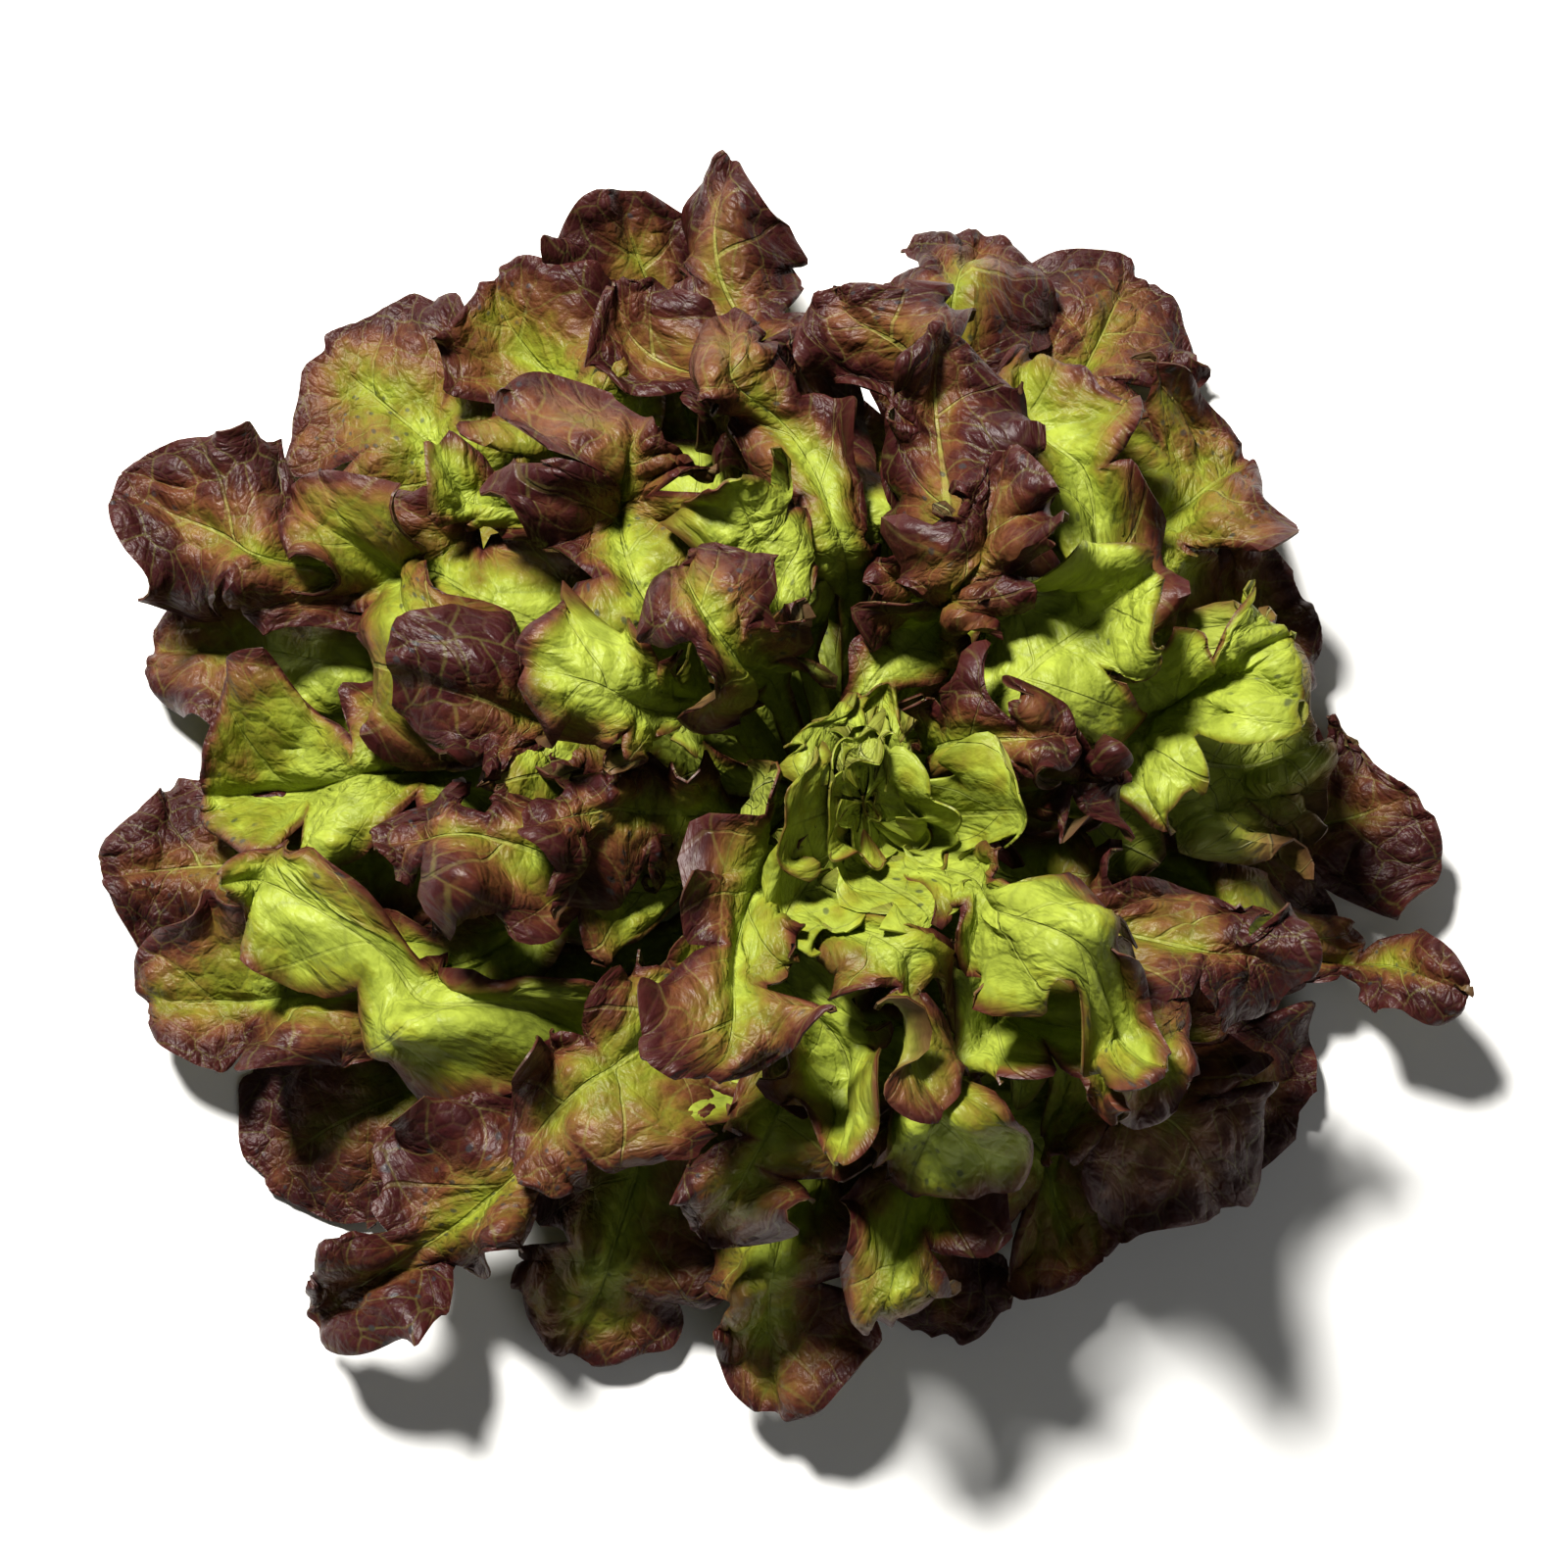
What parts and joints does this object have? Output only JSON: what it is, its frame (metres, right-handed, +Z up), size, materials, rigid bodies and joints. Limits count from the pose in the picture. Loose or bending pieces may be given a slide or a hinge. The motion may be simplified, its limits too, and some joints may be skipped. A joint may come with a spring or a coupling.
{
  "type": "red oak leaf lettuce",
  "caption": "Open head of red oak leaf lettuce with lobed, wavy leaves nested round a short cut stem and a frilly green heart.",
  "frame": {"origin": "centre of the stem's flat cut face, on the surface that the head stands on", "axes": "+Z up along the stem towards the heart, +X to the head's right and +Y to its back as seen in the picture"},
  "size_m": [0.328, 0.2909, 0.1207],
  "materials": {
    "stem_cream": "matte, moist cut tissue",
    "leaf_red": "satin, blistered leaf with a waxy sheen",
    "leaf_green": "satin, blistered leaf with a waxy sheen",
    "heart_green": "satin, thin young leaf"
  },
  "bodies": {
    "root": {"stem": "stem_cream", "outer_leaf_01": "leaf_red", "outer_leaf_02": "leaf_red", "outer_leaf_03": "leaf_red", "outer_leaf_04": "leaf_red", "outer_leaf_05": "leaf_red", "outer_leaf_06": "leaf_red", "outer_leaf_07": "leaf_red", "outer_leaf_08": "leaf_red", "outer_leaf_09": "leaf_red", "outer_leaf_10": "leaf_red", "outer_leaf_11": "leaf_red", "outer_leaf_12": "leaf_red", "outer_leaf_13": "leaf_red", "outer_leaf_14": "leaf_red", "outer_leaf_15": "leaf_red", "outer_leaf_16": "leaf_red", "outer_leaf_17": "leaf_red", "outer_leaf_18": "leaf_red", "outer_leaf_19": "leaf_red", "outer_leaf_20": "leaf_red", "outer_leaf_21": "leaf_red", "outer_leaf_22": "leaf_red", "outer_leaf_23": "leaf_red", "outer_leaf_24": "leaf_red", "inner_leaf_01": "leaf_green", "inner_leaf_02": "leaf_green", "inner_leaf_03": "leaf_green", "inner_leaf_04": "leaf_green", "inner_leaf_05": "leaf_green", "inner_leaf_06": "leaf_green", "inner_leaf_07": "leaf_green", "inner_leaf_08": "leaf_green", "inner_leaf_09": "leaf_green", "inner_leaf_10": "leaf_green", "inner_leaf_11": "leaf_green", "inner_leaf_12": "leaf_green", "inner_leaf_13": "leaf_green", "inner_leaf_14": "leaf_green", "inner_leaf_15": "leaf_green", "inner_leaf_16": "leaf_green", "inner_leaf_17": "leaf_green", "inner_leaf_18": "leaf_green", "inner_leaf_19": "leaf_green", "inner_leaf_20": "leaf_green", "inner_leaf_21": "leaf_green", "inner_leaf_22": "leaf_green", "inner_leaf_23": "leaf_green", "inner_leaf_24": "leaf_green", "inner_leaf_25": "leaf_green", "inner_leaf_26": "leaf_green", "inner_leaf_27": "leaf_green", "inner_leaf_28": "leaf_green", "inner_leaf_29": "leaf_green", "inner_leaf_30": "leaf_green", "heart": "heart_green"}
  },
  "joints": []
}
